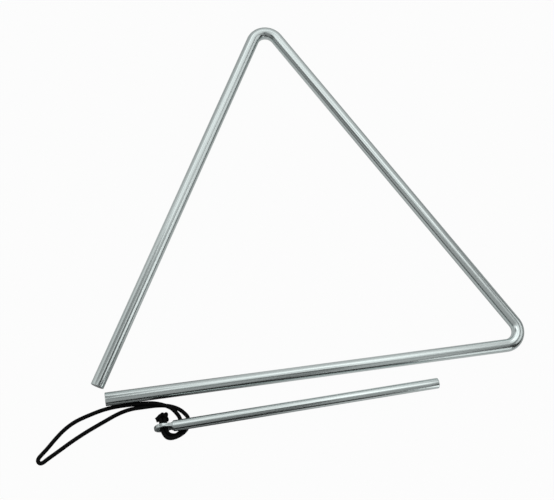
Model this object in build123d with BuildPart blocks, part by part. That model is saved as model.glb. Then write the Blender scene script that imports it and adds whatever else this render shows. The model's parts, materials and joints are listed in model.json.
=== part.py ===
from build123d import *

import math
import os

# A bent-bar triangle lying flat, with its beater in front of it and the beater's cord by its open corner.
# +Z is up, +X runs along the base leg from the open corner, and the apex points to +Y.

# Triangle bar
bar_diameter = 7.94
side_length = 270.0  # between the corners that the bar's centre line would have without bends
corner_angle = 60.0
bend_radius = 9.2  # of the centre line
apex_leg_gap = 9.3  # from the open corner to the end of the leg that comes down from the apex
base_leg_gap = 8.5  # from the open corner to the end of the base leg
bar_end_chamfer = 0.5

# Cord
cord_diameter = 2.3
arc_run_share = 0.45  # of the shorter run at a point, taken up by the arc there
# Centre line, measured from the open corner: out of the knot, through the eye, round and under the shaft,
# along the lower strand of the hand loop, back along the upper one and through the eye again.
hand_loop_route = [
    (38.0, -15.4, 4.7), (37.9, -18.2, 6.0), (37.9, -21.3, 6.5), (38.4, -24.3, 6.4),
    (40.1, -26.6, 6.3), (43.1, -27.4, 5.6), (46.7, -26.8, 4.4), (50.2, -25.6, 2.9),
    (52.9, -23.2, 1.4), (54.3, -19.7, 1.2), (54.2, -16.4, 1.2), (52.8, -14.3, 1.2),
    (50.3, -11.4, 1.2), (46.2, -9.0, 1.2), (41.3, -7.7, 1.2), (35.9, -7.35, 1.2),
    (29.5, -7.5, 1.2), (22.6, -7.4, 1.2), (14.9, -8.95, 1.2), (6.2, -12.3, 1.2),
    (-3.0, -16.15, 1.2), (-12.6, -20.75, 1.2), (-21.8, -25.9, 1.2), (-26.9, -28.8, 1.2),
    (-29.6, -30.45, 1.2), (-31.35, -30.25, 1.2), (-32.5, -28.85, 1.2), (-32.35, -27.05, 1.2),
    (-30.4, -25.15, 1.2), (-27.2, -22.6, 1.2), (-22.1, -18.2, 1.2), (-16.2, -13.7, 1.2),
    (-9.6, -10.1, 1.2), (-2.0, -7.55, 1.2), (5.7, -5.8, 1.2), (12.7, -4.9, 1.2),
    (19.9, -4.7, 1.2), (26.3, -4.8, 1.2), (31.7, -5.1, 2.0), (36.5, -5.9, 3.9),
    (41.2, -7.5, 4.5), (45.0, -10.0, 3.9), (47.2, -12.6, 2.4), (49.0, -15.6, 1.4),
    (49.8, -18.8, 1.2), (50.2, -21.6, 1.2), (49.1, -24.1, 1.2), (46.9, -25.4, 1.5),
    (44.7, -25.6, 2.9), (42.8, -25.1, 4.7), (41.1, -23.7, 6.2), (40.3, -21.2, 6.5),
    (40.3, -18.3, 5.9), (40.4, -15.4, 4.7),
]

# Beater bar
beater_diameter = 6.35
beater_reach = 167.4  # from the centre of the eye to the tip
tip_chamfer = 0.5
eye_clearance = 1.4  # left in the eye by the doubled cord
eye_rim = 2.0
eye_thickness = 2.2
eye_edge_radius = 0.5
neck_start = 3.8  # from the centre of the eye to where the pressed flat ends
neck_length = 2.6  # over which the flat grows into the round bar
neck_draft = 0.15  # by which the neck's radius shrinks towards the flat
die_overrun = 1.0

# How the beater lies
eye_along_base = 39.2  # from the open corner, along the base leg
eye_from_base = 20.8  # from the base leg's centre line
shaft_lift = 1.0  # of the bar over its own cord, at the eye
beater_yaw = 1.32  # degrees
eye_tilt = 14.0  # degrees, by which the eye's hole points upwards in front

# Stopper knot behind the eye, with the two cut ends of the cord standing out of it
knot_length = 7.4
knot_diameter = 6.8
knot_end_diameter = 3.6
knot_behind_eye = 6.0
knot_past_eye = 0.5  # from the eye's centre, away from the tip
knot_clearance = 0.35  # above what the object lies on
tail_reach = 4.3  # from the knot's centre to the cut ends
tail_spread = 2.5  # between the two cut ends
tail_turn = 12.0  # degrees, by which the cut ends point towards the eye's side

# Sizes worked out from those above
bar_radius = bar_diameter / 2
cord_radius = cord_diameter / 2
beater_radius = beater_diameter / 2
eye_hole_radius = cord_diameter + eye_clearance / 2
eye_radius = eye_hole_radius + eye_rim
neck_end = neck_start + neck_length
flat_half_width = math.sqrt(beater_radius**2 - (eye_thickness / 2) ** 2)  # where the flat runs into the bar
eye_height = cord_diameter + beater_radius + shaft_lift
knot_height = knot_diameter / 2 + knot_clearance
corner = math.radians(corner_angle)

# Directions of the beater: along its shaft, through its eye, and level towards the front
pitch = math.asin((eye_height - beater_radius) / beater_reach)
yaw = math.radians(beater_yaw)
tilt = math.radians(eye_tilt)
along = Vector(math.cos(yaw), math.sin(yaw), 0)
front = Vector(math.sin(yaw), -math.cos(yaw), 0)
shaft_direction = along * math.cos(pitch) - Vector(0, 0, math.sin(pitch))
hole_direction = front * math.cos(tilt) + front.cross(shaft_direction) * math.sin(tilt)

# The origin is under the middle of the box round the two bars, so the open corner lies here
left_reach = (apex_leg_gap + bar_end_chamfer) * math.cos(corner) - bar_radius * math.sin(corner)
right_reach = side_length - bend_radius / math.tan(corner / 2) + bend_radius + bar_radius
back_reach = side_length * math.sin(corner) - bend_radius / math.sin(corner / 2) + bend_radius + bar_radius
hole_level = abs(hole_direction.Y)
rim_reach = (eye_radius - eye_edge_radius) * math.sqrt(1 - hole_level**2)
face_reach = (eye_thickness / 2 - eye_edge_radius) * hole_level
eye_reach = rim_reach + face_reach + eye_edge_radius
neck_reach = beater_radius * math.sqrt(1 - shaft_direction.Y**2) - neck_end * shaft_direction.Y
front_reach = -eye_from_base - max(eye_reach, neck_reach)
open_corner = Vector(-(left_reach + right_reach) / 2, -(front_reach + back_reach) / 2, 0)

eye_centre = open_corner + Vector(eye_along_base, -eye_from_base, eye_height)
beater_plane = Plane(origin=eye_centre, x_dir=shaft_direction, z_dir=hole_direction)
die_plane = Plane(origin=eye_centre, x_dir=shaft_direction, z_dir=shaft_direction.cross(hole_direction))
knot_centre = eye_centre - along * knot_past_eye - front * knot_behind_eye
knot_centre = Vector(knot_centre.X, knot_centre.Y, knot_height)


def arc_radii(points):
    # The arc at each inner point takes up the same share of the shorter run beside it
    radii = []
    for before, here, after in zip(points, points[1:], points[2:]):
        arriving = here - before
        leaving = after - here
        half_turn = math.radians(arriving.get_angle(leaving)) / 2
        shorter_run = min(arriving.length, leaving.length)
        radii.append(arc_run_share * shorter_run / math.tan(half_turn))
    return radii


# Triangle: one round bar with two bends, its ends apart at the open corner
with BuildPart() as triangle_rod:
    with BuildLine(Plane(origin=open_corner).offset(bar_radius)):
        bar_line = FilletPolyline(
            (apex_leg_gap * math.cos(corner), apex_leg_gap * math.sin(corner)),
            (side_length * math.cos(corner), side_length * math.sin(corner)),
            (side_length, 0),
            (base_leg_gap, 0),
            radius=bend_radius,
        )
    with BuildSketch(Plane(origin=bar_line @ 0, z_dir=bar_line % 0)):
        Circle(bar_radius)
    sweep()
    chamfer(triangle_rod.faces().filter_by(GeomType.PLANE).edges(), length=bar_end_chamfer)

# Pressed flat at the beater's end, with the hole for the cord
with BuildPart() as eye_flat:
    with BuildSketch(beater_plane.offset(-eye_thickness / 2)):
        with BuildLine():
            CenterArc((0, 0), eye_radius, 0, 360)
            Line((neck_end, -flat_half_width), (neck_end, flat_half_width))
        make_hull()
        Circle(eye_hole_radius, mode=Mode.SUBTRACT)
    extrude(amount=eye_thickness)
    flat_faces = eye_flat.faces().filter_by(GeomType.PLANE).sort_by(SortBy.AREA)[-2:]
    fillet(flat_faces.edges(), radius=eye_edge_radius)

# Beater: a turned shaft with a broken edge at its tip, scalloped down on both sides into the flat
with BuildPart() as beater_rod:
    with BuildSketch(beater_plane):
        with BuildLine():
            Polyline(
                (neck_start, 0),
                (neck_start, beater_radius - neck_draft),
                (neck_end, beater_radius),
                (beater_reach - tip_chamfer, beater_radius),
                (beater_reach, beater_radius - tip_chamfer),
                (beater_reach, 0),
                close=True,
            )
        make_face()
    revolve(axis=Axis(eye_centre, shaft_direction))
    with BuildSketch(die_plane):
        with BuildLine():
            scallop = TangentArc((neck_start, eye_thickness / 2), (neck_end, beater_radius), tangent=(1, 0))
            Polyline(
                scallop @ 1,
                (neck_end, beater_radius + die_overrun),
                (neck_start - die_overrun, beater_radius + die_overrun),
                (neck_start - die_overrun, eye_thickness / 2),
                scallop @ 0,
            )
        make_face()
        mirror(about=Plane.XZ)
    extrude(amount=beater_diameter, both=True, mode=Mode.SUBTRACT)
    add(eye_flat.part)

# Cord: one tube from the knot, round the hand loop and back to the knot
cord_points = [open_corner + Vector(*point) for point in hand_loop_route]
cord_radii = arc_radii(cord_points)
with BuildPart() as hand_loop:
    with BuildLine():
        cord_line = FilletPolyline(*cord_points, radius=cord_radii)
    with BuildSketch(Plane(origin=cord_line @ 0, z_dir=cord_line % 0)):
        Circle(cord_radius)
    sweep()

cord_length = cord_line.length
section_volume = math.pi * cord_radius**2 * cord_length
print("cord arc radii, mm:", [round(radius, 2) for radius in cord_radii])
print(f"cord length {cord_length:.1f} mm, tube volume {hand_loop.part.volume:.1f} mm3,")
print(f"section times length {section_volume:.1f} mm3")

# Knot: a barrel-shaped lump that holds both ends of the cord, and the two cut ends
tail_lean = math.radians(tail_turn)
tail_direction = -along * math.cos(tail_lean) + front * math.sin(tail_lean)
with BuildPart() as loop_knot:
    with BuildSketch(Plane(origin=knot_centre, x_dir=along, z_dir=front)):
        with BuildLine():
            crown = ThreePointArc(
                (-knot_length / 2, knot_end_diameter / 2),
                (0, knot_diameter / 2),
                (knot_length / 2, knot_end_diameter / 2),
            )
            Polyline(crown @ 1, (knot_length / 2, 0), (-knot_length / 2, 0), crown @ 0)
        make_face()
    revolve(axis=Axis(knot_centre, along))
    with BuildSketch(Plane(origin=knot_centre, x_dir=(0, 0, 1), z_dir=tail_direction)):
        with GridLocations(tail_spread, 0, 2, 1):
            Circle(cord_radius)
    extrude(amount=tail_reach)

triangle_rod.part.label = "triangle_rod"
beater_rod.part.label = "beater_rod"
hand_loop.part.label = "hand_loop"
loop_knot.part.label = "loop_knot"

os.makedirs("parts", exist_ok=True)
export_step(triangle_rod.part, "parts/triangle_rod.step")
export_step(beater_rod.part, "parts/beater_rod.step")
export_step(hand_loop.part, "parts/hand_loop.step")
export_step(loop_knot.part, "parts/loop_knot.step")
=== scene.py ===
import json

import bmesh
import bpy
import numpy as np
from mathutils import Matrix, Vector


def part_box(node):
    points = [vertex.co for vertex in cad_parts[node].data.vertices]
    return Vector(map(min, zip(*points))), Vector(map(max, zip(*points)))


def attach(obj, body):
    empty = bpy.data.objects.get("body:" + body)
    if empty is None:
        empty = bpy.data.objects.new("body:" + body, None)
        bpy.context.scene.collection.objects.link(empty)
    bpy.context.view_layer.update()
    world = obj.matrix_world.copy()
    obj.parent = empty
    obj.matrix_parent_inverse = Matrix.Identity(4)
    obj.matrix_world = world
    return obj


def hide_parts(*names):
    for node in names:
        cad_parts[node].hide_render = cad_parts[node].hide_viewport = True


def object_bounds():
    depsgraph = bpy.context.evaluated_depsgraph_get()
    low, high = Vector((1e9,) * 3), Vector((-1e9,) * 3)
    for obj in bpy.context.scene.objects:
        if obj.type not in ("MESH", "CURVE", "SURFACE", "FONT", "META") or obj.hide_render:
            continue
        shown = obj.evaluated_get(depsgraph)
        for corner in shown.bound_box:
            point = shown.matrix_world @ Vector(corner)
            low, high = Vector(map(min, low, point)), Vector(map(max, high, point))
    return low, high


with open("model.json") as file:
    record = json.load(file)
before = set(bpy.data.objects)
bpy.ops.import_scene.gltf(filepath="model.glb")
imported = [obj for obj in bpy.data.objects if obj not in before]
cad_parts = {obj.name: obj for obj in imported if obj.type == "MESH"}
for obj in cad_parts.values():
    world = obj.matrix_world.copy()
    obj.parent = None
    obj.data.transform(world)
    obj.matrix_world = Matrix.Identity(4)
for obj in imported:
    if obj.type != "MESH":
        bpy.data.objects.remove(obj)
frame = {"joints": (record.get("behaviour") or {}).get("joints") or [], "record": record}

cadBox = [list(corner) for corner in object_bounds()]
scene = bpy.context.scene
scene.view_settings.view_transform = "Standard"
mounts = {mount["name"]: mount for mount in frame["record"]["mounts"]}
joints = {joint["name"]: joint for joint in frame["joints"]}
upright = np.array([0.0, 0.0, 1.0])

# Bent bar, all in metres. The open corner is where the two free legs' centre lines would meet.
barSet = {
    "side": 0.270,
    "cornerAngle": np.radians(60),
    "bendRadius": 0.0092,
    "apexLegGap": 0.0093,
    "baseLegGap": 0.0085,
    "edgeRound": 0.0005,
    "bendOval": 0.015,  # share by which a bend is thinner across
    "ringsPerLeg": 40,
    "ringsPerBend": 56,
    "sides": 96,
    "sharpAngle": np.radians(40),
}
barLow, barHigh = (np.array(corner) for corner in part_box("triangle_rod"))
barRadius = (barHigh[2] - barLow[2]) / 2
bendReach = barSet["bendRadius"] / np.tan(barSet["cornerAngle"] / 2)
openCorner = np.array([
    barHigh[0] - barRadius - barSet["bendRadius"] - barSet["side"] + bendReach,
    barLow[1] + barRadius,
    barLow[2],
])

# The camera stands where the legs' lines in the photograph put it, measured from the open corner
cameraSet = {
    "fromOpenCorner": (0.02590, -0.07677, 0.57444),
    "looks": (0.15952, 0.25722, -0.95310),
    "up": (0.11113, 0.95464, 0.27623),
    "lens": 63.15,
    "sensor": 36.0,
    "clip": (0.01, 20.0),
}


def addCamera(s):
    data = bpy.data.cameras.new("camera")
    data.lens = s["lens"]
    data.sensor_width = s["sensor"]
    data.clip_start, data.clip_end = s["clip"]
    camera = bpy.data.objects.new("camera", data)
    scene.collection.objects.link(camera)
    back = -Vector(s["looks"]).normalized()
    right = Vector(s["up"]).cross(back).normalized()
    turn = Matrix((right, back.cross(right), back)).transposed().to_4x4()
    place = Vector(openCorner + np.array(s["fromOpenCorner"]))
    camera.matrix_world = Matrix.Translation(place) @ turn
    scene.camera = camera


addCamera(cameraSet)
print("camera set")


def unit(vectors):
    return vectors / np.linalg.norm(vectors, axis=-1, keepdims=True)


def carriedRings(centres, across, over, acrossRadius, overRadius):
    # Ring i, side j: centre + across * R1 * cos(angle) + over * R2 * sin(angle), angle = 2 pi j / sides
    angle = np.linspace(0, 2 * np.pi, acrossRadius.shape[1], endpoint=False)
    first = across[:, None, :] * (acrossRadius * np.cos(angle))[..., None]
    second = over[:, None, :] * (overRadius * np.sin(angle))[..., None]
    return centres[:, None, :] + first + second


def ringFaces(rings, sides, joined, start=0):
    # Quads between neighbouring rings, joined end to end or left open for the caps
    i = np.arange(rings if joined else rings - 1)[:, None]
    j = np.arange(sides)[None, :]
    nextI = (i + 1) % rings
    nextJ = (j + 1) % sides
    corners = (i * sides + j, i * sides + nextJ, nextI * sides + nextJ, nextI * sides + j)
    return np.stack(np.broadcast_arrays(*corners), axis=-1).reshape(-1, 4) + start


def capFaces(rings, sides, start=0):
    # A fan of triangles to a pole at each end; the poles follow the rings in the list of points
    j = np.arange(sides)
    nextJ = (j + 1) % sides
    last = (rings - 1) * sides
    pole = np.full(sides, rings * sides)
    near = np.stack([pole, nextJ, j], axis=-1)
    far = np.stack([pole + 1, last + j, last + nextJ], axis=-1)
    return np.concatenate([near, far]) + start


def setAttribute(mesh, label, values):
    kind, key = ("FLOAT", "value") if values.ndim == 1 else ("FLOAT_VECTOR", "vector")
    made = mesh.attributes.new(label, kind, "POINT")
    made.data.foreach_set(key, values.astype(np.float32).ravel())


def newMesh(name, points, faces):
    mesh = bpy.data.meshes.new(name)
    mesh.from_pydata(points.tolist(), [], [face for group in faces for face in group.tolist()])
    return mesh


def addPiece(name, mesh, sharpAngle=np.pi):
    # Smooth all over, apart from edges that turn by more than the sharp angle
    mesh.polygons.foreach_set("use_smooth", np.ones(len(mesh.polygons), bool))
    mesh.set_sharp_from_angle(angle=sharpAngle)
    mesh.update()
    piece = bpy.data.objects.new(name, mesh)
    scene.collection.objects.link(piece)
    return piece


# Hand loop. Its route is given in metres from the open corner: out of the knot, through the eye,
# round and under the beater, along the lower strand, round the fold and back along the upper strand.
loopSet = {
    "diameter": 0.0023,
    "length": 0.251,
    "crownRadius": 0.00121,  # out to the braid's crowns
    "route": [
        (0.0387, -0.0154, 0.0047), (0.0386, -0.0182, 0.0060), (0.0386, -0.0213, 0.0065),
        (0.0394, -0.0243, 0.0064), (0.0408, -0.0267, 0.0063), (0.0434, -0.0275, 0.0056),
        (0.0469, -0.0268, 0.0044), (0.0503, -0.0253, 0.0029), (0.0530, -0.0231, 0.0014),
        (0.0545, -0.0197, 0.0012), (0.0546, -0.0163, 0.0012), (0.0531, -0.0141, 0.0012),
        (0.0504, -0.0112, 0.0012), (0.0462, -0.0089, 0.0012), (0.0413, -0.0076, 0.0012),
        (0.0359, -0.0071, 0.0012), (0.0295, -0.00715, 0.0012), (0.0226, -0.0071, 0.0012),
        (0.0149, -0.0088, 0.0012), (0.0063, -0.0124, 0.0012), (-0.0030, -0.01625, 0.0012),
        (-0.0125, -0.02085, 0.0012), (-0.0217, -0.02605, 0.0012), (-0.0269, -0.0288, 0.0012),
        (-0.0297, -0.0306, 0.0012), (-0.0314, -0.0307, 0.0012), (-0.0324, -0.0293, 0.0012),
        (-0.0319, -0.0277, 0.0012), (-0.0297, -0.0257, 0.0012), (-0.0266, -0.0231, 0.0012),
        (-0.0218, -0.0184, 0.0012), (-0.0162, -0.0136, 0.0012), (-0.0097, -0.0099, 0.0012),
        (-0.0020, -0.00755, 0.0012), (0.0057, -0.0056, 0.0012), (0.0127, -0.0047, 0.0012),
        (0.0199, -0.0046, 0.0012), (0.0263, -0.0048, 0.0012), (0.0317, -0.0051, 0.0020),
        (0.0365, -0.0060, 0.0039), (0.0412, -0.0077, 0.0045), (0.0455, -0.0099, 0.0039),
        (0.0478, -0.0126, 0.0024), (0.0497, -0.0155, 0.0014), (0.0502, -0.0188, 0.0012),
        (0.0502, -0.0216, 0.0012), (0.0491, -0.0241, 0.0012), (0.0469, -0.0256, 0.0014),
        (0.0447, -0.0257, 0.0027), (0.0424, -0.0250, 0.0046), (0.0413, -0.0235, 0.0062),
        (0.04095, -0.0212, 0.0065), (0.04095, -0.0183, 0.0059), (0.04095, -0.0154, 0.0047),
    ],
    "curveSteps": 16,
    "ringStep": 0.00016,
    "sides": 40,
}
braidSet = {
    "strands": 8,  # each way round
    "turnLength": 0.0072,
    "relief": 0.10,  # share of the radius
    "lift": 0.45,  # how far a strand rises over the one that it crosses
    "roundness": 0.96,
}


def routeLine(name, points, steps):
    # The smooth line of a NURBS curve that has these points as its control points
    curve = bpy.data.curves.new(name, "CURVE")
    curve.dimensions = "3D"
    curve.resolution_u = steps
    spline = curve.splines.new("NURBS")
    spline.points.add(len(points) - 1)
    spline.points.foreach_set("co", np.column_stack([points, np.ones(len(points))]).ravel())
    spline.order_u = 3
    spline.use_endpoint_u = True
    holder = bpy.data.objects.new(name, curve)
    mesh = bpy.data.meshes.new_from_object(holder)
    line = np.empty(len(mesh.vertices) * 3)
    mesh.vertices.foreach_get("co", line)
    bpy.data.objects.remove(holder)
    bpy.data.curves.remove(curve)
    bpy.data.meshes.remove(mesh)
    return line.reshape(-1, 3)


def evenly(line, step):
    # The same line with its points an even step apart, and how far along each one lies
    along = np.concatenate([[0], np.cumsum(np.linalg.norm(np.diff(line, axis=0), axis=1))])
    places = np.linspace(0, along[-1], int(round(along[-1] / step)) + 1)
    return np.stack([np.interp(places, along, line[:, k]) for k in range(3)], axis=1), places


def braidRelief(along, sides, s):
    # Two sets of n strands wind opposite ways. At a share of a turn round and t turns along, their numbers
    # are a = n (share + t) and b = n (share - t). Each strand has a round back across, and rises and dips
    # along by sin(pi (b + floor a)), so they go over and under. The higher strand shows, at most 1 high.
    share = np.arange(sides)[None, :] / sides
    turns = along[:, None] / s["turnLength"]
    a = s["strands"] * (share + turns)
    b = s["strands"] * (share - turns)
    backA = np.sqrt(1 - s["roundness"] * (2 * (a % 1) - 1) ** 2)
    backB = np.sqrt(1 - s["roundness"] * (2 * (b % 1) - 1) ** 2)
    riseA = 1 + s["lift"] * np.sin(np.pi * (b + np.floor(a)))
    riseB = 1 - s["lift"] * np.sin(np.pi * (a + np.floor(b)))
    return np.maximum(backA * riseA, backB * riseB) / (1 + s["lift"])


def braidedRings(line, tangent, reference, along, radius, sides, s):
    # A circle with the braid's relief carried along the line; the reference fixes where each ring starts
    across = unit(np.cross(reference, tangent))
    height = braidRelief(along, sides, s)
    size = radius * (1 - s["relief"] * (1 - height))
    return carriedRings(line, across, np.cross(tangent, across), size, size), height


def addLoop(s, braid):
    line = routeLine("loopRoute", openCorner + np.array(s["route"]), s["curveSteps"])
    line, along = evenly(line, s["ringStep"])
    tangent = unit(np.gradient(line, axis=0))
    rings, height = braidedRings(line, tangent, upright, along, s["crownRadius"], s["sides"], braid)
    size = rings.shape[:2]
    points = np.concatenate([rings.reshape(-1, 3), line[[0, -1]]])
    mesh = newMesh("hand_loop_cord", points, [ringFaces(*size, False), capFaces(*size)])
    setAttribute(mesh, "braidHeight", np.concatenate([height.ravel(), np.zeros(2)]))
    return addPiece("hand_loop_cord", mesh), line


handLoop, loopPath = addLoop(loopSet, braidSet)
print("hand loop:", len(handLoop.data.polygons), "faces")

# Knot behind the eye: the cord wound into a tight overhand knot, and its two cut ends
knotSet = {
    "cordRadius": 0.00088,  # the cord is squeezed where the knot is pulled tight
    "ringRadius": 0.00155,
    "windRadius": 0.00075,
    "windHeight": 0.0020,
    "wraps": 2,
    "winds": 3,
    "phase": np.pi,  # puts one lobe of the lump at the left
    "rings": 420,
    "sides": 40,
    "fromRight": 0.0017,  # from the solid's right end to the middle of the lump
    "tailRadius": 0.00108,
    "tailStep": 0.00016,
    "tailTone": 0.2,  # of the cut ends, as a height in the braid
    "tails": [  # from the lump's middle to the cut ends
        [(0.0, 0.0016, 0.0006), (-0.0018, 0.0015, 0.0010), (-0.0032, 0.0001, 0.0011),
         (-0.0047, -0.0009, 0.0010)],
        [(0.0, -0.0003, -0.0009), (-0.0020, -0.0007, -0.0012), (-0.0034, -0.0010, -0.0012),
         (-0.0045, -0.0012, -0.0011)],
    ],
}


def addKnot(s, braid):
    low, high = (np.array(corner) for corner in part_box("loop_knot"))
    lump = np.array([high[0] - s["fromRight"], *(low + high)[1:] / 2])
    # Trefoil wound on a ring: R + r cos 3t from the axis, turned by 2t + phase, and h sin 3t along the axis
    t = np.linspace(0, 2 * np.pi, s["rings"], endpoint=False)
    reach = s["ringRadius"] + s["windRadius"] * np.cos(s["winds"] * t)
    turn = s["wraps"] * t + s["phase"]
    shift = s["windHeight"] * np.sin(s["winds"] * t)
    line = np.stack([reach * np.cos(turn), shift, reach * np.sin(turn)], axis=1)
    along = np.cumsum(np.linalg.norm(line - np.roll(line, 1, axis=0), axis=1))
    wholeTurns = round(along[-1] / braid["turnLength"])
    along *= wholeTurns * braid["turnLength"] / along[-1]  # so that the braid closes
    tangent = unit(np.roll(line, -1, axis=0) - np.roll(line, 1, axis=0))
    rings, height = braidedRings(lump + line, tangent, line, along, s["cordRadius"], s["sides"], braid)
    points, tones = [rings.reshape(-1, 3)], [height.ravel()]
    faces = [ringFaces(*rings.shape[:2], True)]
    for route in s["tails"]:
        start = sum(len(group) for group in points)
        tail, far = evenly(routeLine("tailRoute", lump + np.array(route), s["rings"]), s["tailStep"])
        tangent = unit(np.gradient(tail, axis=0))
        rings, height = braidedRings(tail, tangent, upright, far, s["tailRadius"], s["sides"], braid)
        points += [rings.reshape(-1, 3), tail[[0, -1]]]
        tones += [height.ravel(), np.full(2, s["tailTone"])]
        faces += [ringFaces(*rings.shape[:2], False, start), capFaces(*rings.shape[:2], start)]
    mesh = newMesh("loop_knot_wound", np.concatenate(points), faces)
    setAttribute(mesh, "braidHeight", np.concatenate(tones))
    return addPiece("loop_knot_wound", mesh)


knot = addKnot(knotSet, braidSet)
print("knot:", len(knot.data.polygons), "faces")


def roundedEnd(depth, radius, edge):
    # Radius near a cut end: a quarter circle of the edge's radius, then full
    left = np.clip(edge - depth, 0, edge)
    return radius - edge + np.sqrt(edge**2 - left**2)


def endSteps(edge, count=7):
    # Depths from a cut end at which the rounded edge gets its rings
    return edge * (1 - np.cos(np.linspace(0, np.pi / 2, count)))


def addBar(s):
    # Centre line: three straight legs and two arcs, each turning clockwise by 180 degrees less the corner
    turn = np.pi - s["cornerAngle"]
    edge = endSteps(s["edgeRound"])
    lengths = s["side"] - bendReach - np.array([s["apexLegGap"], bendReach, s["baseLegGap"]])
    stations = [np.linspace(0, length, s["ringsPerLeg"]) for length in lengths]
    stations[0] = np.concatenate([edge, stations[0][1:]])
    stations[2] = np.concatenate([stations[2][:-1], lengths[2] - edge[::-1]])
    bend = np.linspace(0, turn, s["ringsPerBend"] + 2)[1:-1]
    heading, far = s["cornerAngle"], 0.0
    at = openCorner[:2] + s["apexLegGap"] * np.array([np.cos(heading), np.sin(heading)])
    places, headings, alongs, ovals = [], [], [], []
    for leg, station in zip(lengths, stations):
        ahead = np.array([np.cos(heading), np.sin(heading)])
        inward = at + leg * ahead + s["bendRadius"] * np.array([ahead[1], -ahead[0]])
        angle = heading - bend
        places += [at + station[:, None] * ahead,
                   inward + s["bendRadius"] * np.stack([-np.sin(angle), np.cos(angle)], axis=1)]
        headings += [np.full(station.shape, heading), angle]
        alongs += [far + station, far + leg + s["bendRadius"] * bend]
        ovals += [np.zeros(station.shape), np.sin(np.pi * bend / turn) ** 2]
        heading, far = heading - turn, far + leg + s["bendRadius"] * turn
        at = inward + s["bendRadius"] * np.array([-np.sin(heading), np.cos(heading)])
    # The loop also makes a bend after the last leg, which is left off here
    place, head, along, oval = (np.concatenate(group[:-1]) for group in (places, headings, alongs, ovals))

    flat = np.zeros(len(head))
    centres = np.column_stack([place, np.full(len(head), openCorner[2] + barRadius)])
    outward = np.stack([-np.sin(head), np.cos(head), flat], axis=1)
    upward = np.broadcast_to(upright, outward.shape)
    radius = roundedEnd(np.minimum(along, along[-1] - along), barRadius, s["edgeRound"])
    wide = np.repeat(radius[:, None], s["sides"], axis=1)
    rings = carriedRings(centres, outward, upward, wide * (1 - s["bendOval"] * oval[:, None]), wide)
    size = rings.shape[:2]

    # Streaks run along the bar, so each point keeps its place across the bar and its distance along it
    angle = np.linspace(0, 2 * np.pi, s["sides"], endpoint=False)
    around = np.stack([wide * np.cos(angle), wide * np.sin(angle), along[:, None] + 0 * wide], axis=-1)
    poles = [[0, 0, along[0]], [0, 0, along[-1]]]
    cut = np.zeros(size)
    cut[[0, -1]] = 1
    mesh = newMesh("triangle_bar", np.concatenate([rings.reshape(-1, 3), centres[[0, -1]]]),
                   [ringFaces(*size, False), capFaces(*size)])
    setAttribute(mesh, "barPlace", np.concatenate([around.reshape(-1, 3), poles]))
    setAttribute(mesh, "cutFace", np.concatenate([cut.ravel(), np.ones(2)]))
    return addPiece("triangle_bar", mesh, s["sharpAngle"])


bar = addBar(barSet)
print("bar:", len(bar.data.polygons), "faces")

# Beater: a round bar whose end is pressed flat and pierced. The shaft's mount and the hinge give its place.
beaterSet = {
    "reach": 0.1674,  # from the eye's centre to the tip
    "tipRound": 0.0005,
    "tipFace": 0.000005,  # points nearer than this to the tip are on its sawn face
    "holeRadius": 0.0030,
    "eyeRadius": 0.0050,
    "flatThick": 0.0022,
    "flatEdge": 0.0005,
    "neckStart": 0.0038,
    "neckEnd": 0.0064,
    "neckInside": 0.0004,  # the shaft starts this far inside the flat
    "flatSink": 0.00006,  # and this far under the flat's faces
    "pressSoftness": 14,
    "sliver": 0.000004,  # points nearer than this are merged where flat and shaft meet
    "neckRings": 60,
    "shaftRings": 24,
    "sides": 96,
    "eyeRings": 180,
    "eyeSides": 64,
    "sharpAngle": np.radians(40),
}


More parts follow.
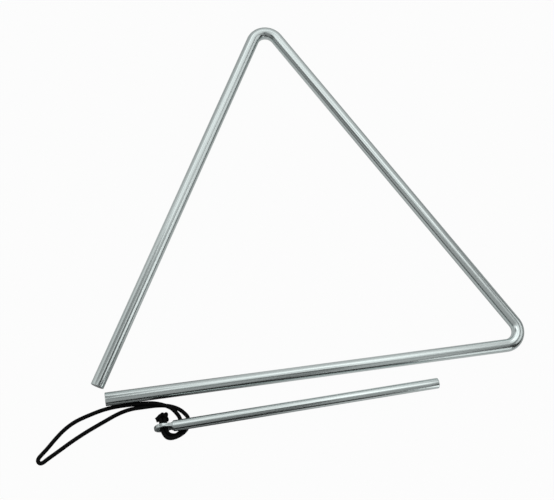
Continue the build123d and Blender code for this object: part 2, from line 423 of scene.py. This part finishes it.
def addBeater(s):
    shaft, hinge = mounts["beater_shaft"], joints["beater_swing"]
    radius = shaft["dims"]["r_mm"] / 1000  # in metres, as all else here
    eye = np.array(hinge["pos_m"])
    forward, through = (unit(np.array(axis)) for axis in (shaft["axis"], hinge["axis"]))
    sideways = np.cross(through, forward)

    # Flat: a rounded box section carried round the hole, from its edge out to the flat's outline. The
    # outline is the eye's circle and its two tangents to the points where the flat runs into the bar.
    half = s["flatThick"] / 2
    runIn = np.sqrt(radius**2 - half**2)
    touch = np.arctan2(runIn, s["neckEnd"]) + np.arccos(s["eyeRadius"] / np.hypot(s["neckEnd"], runIn))
    turn = np.linspace(-np.pi, np.pi, s["eyeRings"], endpoint=False)
    tangentReach = s["eyeRadius"] / np.cos(np.minimum(touch - np.abs(turn), touch))
    endReach = s["neckEnd"] / np.maximum(np.cos(turn), np.cos(touch))
    outline = np.where(np.abs(turn) < touch, np.minimum(tangentReach, endReach), s["eyeRadius"])
    spread = forward * np.cos(turn)[:, None] + sideways * np.sin(turn)[:, None]
    angle = (np.arange(s["eyeSides"]) + 0.5) * 2 * np.pi / s["eyeSides"]  # no point at a side's middle
    boxHalf = (outline - s["holeRadius"])[:, None] / 2 - s["flatEdge"]
    middle = (outline + s["holeRadius"])[:, None] / 2
    out = middle + np.sign(np.cos(angle)) * boxHalf + s["flatEdge"] * np.cos(angle)
    rise = np.sign(np.sin(angle)) * (half - s["flatEdge"]) + s["flatEdge"] * np.sin(angle)
    rings = eye + spread[:, None, :] * out[..., None] - through * rise[None, :, None]
    flat = newMesh("beater_flat", rings.reshape(-1, 3), [ringFaces(*rings.shape[:2], True)])

    # Shaft: a circle whose height is pressed down to h(x) in the neck, z / (1 + |z / h|^p)^(1/p), with h
    # on a circle that starts level on the flat and meets the bar where the neck ends
    deep, long = radius - half, s["neckEnd"] - s["neckStart"]
    arc = (deep**2 + long**2) / (2 * deep)
    neck = np.linspace(s["neckStart"] - s["neckInside"], s["neckStart"] + arc, s["neckRings"])
    plain = np.linspace(neck[-1], s["reach"] - s["tipRound"], s["shaftRings"])[1:-1]
    x = np.concatenate([neck, plain, s["reach"] - endSteps(s["tipRound"])[::-1]])
    run = np.clip(x - s["neckStart"], 0, arc)
    height = half - s["flatSink"] + arc - np.sqrt(arc**2 - run**2)
    wide = np.repeat(roundedEnd(s["reach"] - x, radius, s["tipRound"])[:, None], s["sides"], axis=1)
    angle = np.linspace(0, 2 * np.pi, s["sides"], endpoint=False)
    overHeight = np.abs(wide * np.sin(angle) / height[:, None])
    press = (1 + overHeight ** s["pressSoftness"]) ** (-1 / s["pressSoftness"])
    pressed = np.where((x < neck[-1])[:, None], press, 1)
    centres = eye + forward * x[:, None]
    aside = np.broadcast_to(sideways, centres.shape)
    lifted = np.broadcast_to(through, centres.shape)
    rings = carriedRings(centres, aside, lifted, wide, wide * pressed)
    size = rings.shape[:2]
    points = np.concatenate([rings.reshape(-1, 3), centres[[0, -1]]])
    shaftMesh = newMesh("beater_shaft", points, [ringFaces(*size, False), capFaces(*size)])

    # The two closed forms become one, and slivers along their seam are merged away
    pieces = [bpy.data.objects.new(mesh.name, mesh) for mesh in (shaftMesh, flat)]
    for piece in pieces:
        scene.collection.objects.link(piece)
    union = pieces[0].modifiers.new("union", "BOOLEAN")
    union.operation = "UNION"
    union.solver = "EXACT"
    union.object = pieces[1]
    joined = pieces[0].evaluated_get(bpy.context.evaluated_depsgraph_get())
    mesh = bpy.data.meshes.new_from_object(joined)
    mesh.name = "beater_bar"
    form = bmesh.new()
    form.from_mesh(mesh)
    bmesh.ops.remove_doubles(form, verts=form.verts, dist=s["sliver"])
    bmesh.ops.dissolve_degenerate(form, edges=form.edges, dist=s["sliver"])
    form.to_mesh(mesh)
    form.free()
    for piece in pieces:
        bpy.data.objects.remove(piece)
    place = np.empty(len(mesh.vertices) * 3)
    mesh.vertices.foreach_get("co", place)
    local = (place.reshape(-1, 3) - eye) @ np.stack([sideways, through, forward], axis=1)
    onTip = local[:, 2] > s["reach"] - s["tipFace"]
    setAttribute(mesh, "barPlace", local)
    setAttribute(mesh, "cutFace", onTip.astype(float))
    return addPiece("beater_bar", mesh, s["sharpAngle"])


beater = addBeater(beaterSet)
print("beater:", len(beater.data.polygons), "faces")


class Wire:
    # A shader socket whose operators add Math nodes, and a way to add any other node

    def __init__(self, tree, socket=None):
        self.tree = tree
        self.socket = socket

    def node(self, kind, settings=None, inputs=None, out=0):
        made = self.tree.nodes.new(kind)
        for name, value in (settings or {}).items():
            setattr(made, name, value)
        for key, value in (inputs or {}).items():
            if isinstance(value, Wire):
                self.tree.links.new(value.socket, made.inputs[key])
            else:
                made.inputs[key].default_value = value
        return Wire(self.tree, made.outputs[out]) if len(made.outputs) else made

    def maths(self, operation, *values):
        return self.node("ShaderNodeMath", {"operation": operation}, dict(enumerate(values)))

    def vector(self, operation, other, out=0):
        return self.node("ShaderNodeVectorMath", {"operation": operation}, {0: self, 1: other}, out)

    def step(self, low, high):
        # 0 below low, 1 above high and smooth between
        return self.node("ShaderNodeMapRange", {"interpolation_type": "SMOOTHSTEP"},
                         {"Value": self, "From Min": low, "From Max": high})

    def colours(self, *ends):
        # From the first colour at 0 to the second at 1
        first, second = (end if isinstance(end, Wire) else (*end, 1) for end in ends)
        return self.node("ShaderNodeMix", {"data_type": "RGBA"}, {0: self, 6: first, 7: second}, 2)

    def __add__(self, other):
        return self.maths("ADD", self, other)

    def __radd__(self, other):
        return self.maths("ADD", other, self)

    def __sub__(self, other):
        return self.maths("SUBTRACT", self, other)

    def __rsub__(self, other):
        return self.maths("SUBTRACT", other, self)

    def __mul__(self, other):
        return self.maths("MULTIPLY", self, other)

    def __rmul__(self, other):
        return self.maths("MULTIPLY", other, self)


def newMaterial(name):
    material = bpy.data.materials.new(name)
    material.use_nodes = True
    material.node_tree.nodes.clear()
    return material, Wire(material.node_tree)


def noise(place, scales, detail, roughness):
    # Noise with that many grains per metre each way
    scaled = place.vector("MULTIPLY", scales)
    return place.node("ShaderNodeTexNoise", {"noise_dimensions": "3D"},
                      {"Vector": scaled, "Scale": 1.0, "Detail": detail, "Roughness": roughness})


# Bright plating over drawn steel: lines along the bar, softer bands of tone, and bare sawn ends
steelSet = {
    # Noises: grains per metre across, across and along, then detail and roughness
    "fineLines": ((2300.0, 2300.0, 9.0), 3.0, 0.6),
    "bands": ((620.0, 620.0, 4.0), 2.0, 0.5),
    "peel": ((900.0, 900.0, 900.0), 1.0, 0.5),
    "sawLines": ((5200.0, 160.0, 160.0), 2.0, 0.6),
    "lineShare": 0.5,  # of the fine lines in the tone, with the bands as the rest
    "toneEdge": (0.34, 0.60),
    "lineEdge": (0.3, 0.7),
    "sawEdge": (0.3, 0.7),
    "cutEdge": (0.55, 0.95),
    "peelShare": 0.4,
    "dark": (0.40, 0.45, 0.445),
    "light": (0.82, 0.905, 0.895),
    "sawnDark": (0.20, 0.205, 0.205),
    "sawnLight": (0.42, 0.43, 0.43),
    "roughness": 0.15,
    "lineRoughness": 0.12,
    "sawnRoughness": 0.22,
    "bumpDistance": 0.00004,
    "bumpStrength": 0.3,
}


def platedSteel(name, s):
    material, w = newMaterial(name)
    place = w.node("ShaderNodeAttribute", {"attribute_name": "barPlace"}, out="Vector")
    cut = w.node("ShaderNodeAttribute", {"attribute_name": "cutFace"}, out="Fac").step(*s["cutEdge"])
    lines = noise(place, *s["fineLines"])
    bands = noise(place, *s["bands"])
    peel = noise(place, *s["peel"])
    saw = noise(place, *s["sawLines"])
    tone = (s["lineShare"] * lines + (1 - s["lineShare"]) * bands).step(*s["toneEdge"])
    plated = tone.colours(s["dark"], s["light"])
    sawn = saw.step(*s["sawEdge"]).colours(s["sawnDark"], s["sawnLight"])
    colour = cut.colours(plated, sawn)
    lineGap = 1 - lines.step(*s["lineEdge"])
    rough = s["roughness"] + s["lineRoughness"] * lineGap + s["sawnRoughness"] * cut
    relief = (1 - cut) * (lines + s["peelShare"] * peel) + cut * saw
    bump = w.node("ShaderNodeBump", None,
                  {"Strength": s["bumpStrength"], "Distance": s["bumpDistance"], "Height": relief})
    shader = w.node("ShaderNodeBsdfPrincipled", None,
                    {"Base Color": colour, "Metallic": 1.0, "Roughness": rough, "Normal": bump})
    w.node("ShaderNodeOutputMaterial", None, {"Surface": shader})
    return material


# Black braid: painted shade, deep black down in the gaps between strands and grey on the crowns; the crowns
# are also a little worn
braidLook = {
    # the gap and crown colours are painted shade, picked by the braid's height
    "shadedGap": (0.0008, 0.0008, 0.0009),
    "crown": (0.0025, 0.0025, 0.0028),
    "worn": (0.0060, 0.0060, 0.0066),
    "specular": 0.11,
    "yarn": ((9000.0, 9000.0, 9000.0), 2.0, 0.6),  # noises, given as for the plating
    "wear": ((160.0, 160.0, 160.0), 3.0, 0.6),
    "yarnShare": 0.15,
    "crownEdge": (0.45, 1.0),
    "wearEdge": (0.52, 0.72),
    "wearShare": 0.6,
    "roughness": 0.50,
    "gapRoughness": 0.35,
    "bumpDistance": 0.00004,
    "bumpStrength": 0.4,
}


def blackBraid(name, s):
    material, w = newMaterial(name)
    height = w.node("ShaderNodeAttribute", {"attribute_name": "braidHeight"}, out="Fac")
    place = w.node("ShaderNodeTexCoord", out="Object")
    yarn = noise(place, *s["yarn"])
    wear = noise(place, *s["wear"])
    crown = (height + s["yarnShare"] * yarn).step(*s["crownEdge"])
    # Painted shade: the colour goes from the gaps' black to the crowns' grey as the braid rises
    plain = crown.colours(s["shadedGap"], s["crown"])
    worn = (crown * wear.step(*s["wearEdge"])) * s["wearShare"]
    colour = worn.colours(plain, s["worn"])
    rough = s["roughness"] + s["gapRoughness"] * (1 - crown)
    bump = w.node("ShaderNodeBump", None,
                  {"Strength": s["bumpStrength"], "Distance": s["bumpDistance"], "Height": yarn})
    shader = w.node("ShaderNodeBsdfPrincipled", None,
                    {"Base Color": colour, "Roughness": rough, "Normal": bump,
                     "Specular IOR Level": s["specular"]})
    w.node("ShaderNodeOutputMaterial", None, {"Surface": shader})
    return material


braidMaterial = blackBraid("black_braid", braidLook)
finishes = {
    bar: platedSteel("triangle_plating", steelSet),
    beater: platedSteel("beater_plating", steelSet),
    handLoop: braidMaterial,
    knot: braidMaterial,
}
for piece, finish in finishes.items():
    piece.data.materials.append(finish)
print("materials:", [finish.name for finish in finishes.values()])

# Studio: a white floor, a room that is bright at the back and dim at the front, and soft lamps. Places are
# measured from the open corner, and a level is what a mirror would show of the lamp.
studioSet = {
    "floorHalf": 4.0,
    "floorDrop": 0.0002,
    "floorColour": (0.24, 0.24, 0.24, 1),
    "cameraWhite": 0.97,  # share of plain white in what the camera sees of the floor
    "mirrorWhite": 0.42,  # and in what the bars reflect of it,
    "mirrorShadeSpot": (0.045, -0.048, 0.0),  # apart from a spot by the eye, painted greyer as painted shade
    "spotEdge": (0.035, 0.095),
    "roomSide": (-0.375, 0.926, 0.025),
    "roomEdge": (-0.052, 0.338),
    "dimLevel": 0.0112,
    "brightLevel": 0.624,
    "aim": (0.13, 0.08, 0.0),
    "boxes": {  # hang level, turned about the upright
        "back_box": {"place": (-0.070, 0.707, 0.860), "size": (0.98, 1.40), "turn": 0.145, "level": 0.47},
        "right_strip": {"place": (0.311, 0.0, 0.340), "size": (0.17, 1.20), "turn": 0.0, "level": 0.39},
    },
    "rounds": {  # face the bars
        "right_lamp": {"place": (1.181, 0.006, 0.673), "size": 1.00, "level": 0.82},
        "front_lamp": {"place": (0.311, -0.180, 0.058), "size": 0.125, "level": 1.2},
        "left_lamp": {"place": (-0.166, -0.196, 0.517), "size": 1.00, "level": 0.31},
    },
    "card": {  # a dark screen, seen only in reflections
        "place": (-0.0375, 0.117, 0.200), "size": 0.194, "cover": 0.67, "sides": 64,
    },
}


def addWorld(s):
    world = bpy.data.worlds.new("studio")
    world.use_nodes = True
    world.node_tree.nodes.clear()
    scene.world = world
    w = Wire(world.node_tree)
    facing = w.node("ShaderNodeTexCoord").vector("DOT_PRODUCT", s["roomSide"], "Value")
    dim, bright, white = (w.node("ShaderNodeBackground", None, {"Color": (1, 1, 1, 1), "Strength": level})
                          for level in (s["dimLevel"], s["brightLevel"], 1.0))
    room = w.node("ShaderNodeMixShader", None, {0: facing.step(*s["roomEdge"]), 1: dim, 2: bright})
    toCamera = w.node("ShaderNodeLightPath", out="Is Camera Ray")
    shown = w.node("ShaderNodeMixShader", None, {0: toCamera, 1: room, 2: white})
    w.node("ShaderNodeOutputWorld", None, {"Surface": shown})


def addFloor(s):
    half, low = s["floorHalf"], cadBox[0][2] - s["floorDrop"]
    corners = np.array([[-half, -half, low], [half, -half, low], [half, half, low], [-half, half, low]])
    mesh = newMesh("floor", corners, [np.arange(4)[None, :]])
    floor = bpy.data.objects.new("floor", mesh)
    scene.collection.objects.link(floor)
    material, w = newMaterial("white_floor")
    toCamera, toMirror, toGlass = (w.node("ShaderNodeLightPath", out=f"Is {ray} Ray")
                                   for ray in ("Camera", "Glossy", "Transmission"))
    # Painted shade: near the eye the bars reflect less of the white, so the floor in their reflection is
    # greyer there
    spot = tuple(openCorner + np.array(s["mirrorShadeSpot"]))
    away = w.node("ShaderNodeTexCoord", out="Object").vector("DISTANCE", spot, "Value")
    mirrored = s["mirrorWhite"] * away.step(*s["spotEdge"])
    share = s["cameraWhite"] * toCamera + mirrored * (toMirror + toGlass)
    matt = w.node("ShaderNodeBsdfDiffuse", None, {"Color": s["floorColour"]})
    white = w.node("ShaderNodeEmission", None, {"Color": (1, 1, 1, 1), "Strength": 1.0})
    shown = w.node("ShaderNodeMixShader", None, {0: share, 1: matt, 2: white})
    w.node("ShaderNodeOutputMaterial", None, {"Surface": shown})
    mesh.materials.append(material)


def newLamp(name, shape, lamp, area):
    # A lamp of this level has the power level * pi * area
    data = bpy.data.lights.new(name, "AREA")
    data.shape = shape
    data.energy = lamp["level"] * np.pi * area
    holder = bpy.data.objects.new(name, data)
    holder.location = openCorner + np.array(lamp["place"])
    holder.visible_camera = False
    scene.collection.objects.link(holder)
    return holder


def addLamps(s):
    for name, lamp in s["boxes"].items():
        wide, long = lamp["size"]
        holder = newLamp(name, "RECTANGLE", lamp, wide * long)
        holder.data.size, holder.data.size_y = wide, long
        holder.rotation_euler = (0, 0, lamp["turn"])
    for name, lamp in s["rounds"].items():
        holder = newLamp(name, "DISK", lamp, np.pi * lamp["size"] ** 2 / 4)
        holder.data.size = lamp["size"]
        holder.rotation_mode = "QUATERNION"
        holder.rotation_quaternion = (Vector(s["aim"]) - Vector(lamp["place"])).to_track_quat("-Z", "Y")


def addCard(card, aim):
    # A round screen that faces the bars: place + R (u cos angle + v sin angle). Only reflections show it.
    place = np.array(card["place"])
    angle = np.linspace(0, 2 * np.pi, card["sides"], endpoint=False)[:, None]
    facing = unit(np.array(aim) - place)
    level = unit(np.cross(facing, upright))
    around = level * np.cos(angle) + np.cross(facing, level) * np.sin(angle)
    ring = openCorner + place + card["size"] / 2 * around
    mesh = newMesh("dark_card", ring, [np.arange(card["sides"])[None, :]])
    screen = bpy.data.objects.new("dark_card", mesh)
    screen.visible_camera = False
    screen.visible_diffuse = False
    screen.visible_shadow = False
    scene.collection.objects.link(screen)
    material, w = newMaterial("dark_cloth")
    clear = w.node("ShaderNodeBsdfTransparent")
    black = w.node("ShaderNodeBsdfDiffuse", None, {"Color": (0, 0, 0, 1)})
    shown = w.node("ShaderNodeMixShader", None, {0: card["cover"], 1: clear, 2: black})
    w.node("ShaderNodeOutputMaterial", None, {"Surface": shown})
    mesh.materials.append(material)


addWorld(studioSet)
addFloor(studioSet)
addLamps(studioSet)
addCard(studioSet["card"], studioSet["aim"])
print("studio set")

for piece, body, node, slot in (
    (bar, "triangle", "triangle_rod", "triangle_bar"),
    (beater, "beater", "beater_rod", "beater_bar"),
    (handLoop, "cord", "hand_loop", "cord"),
    (knot, "cord", "loop_knot", "cord"),
):
    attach(piece, body)
    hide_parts(node)
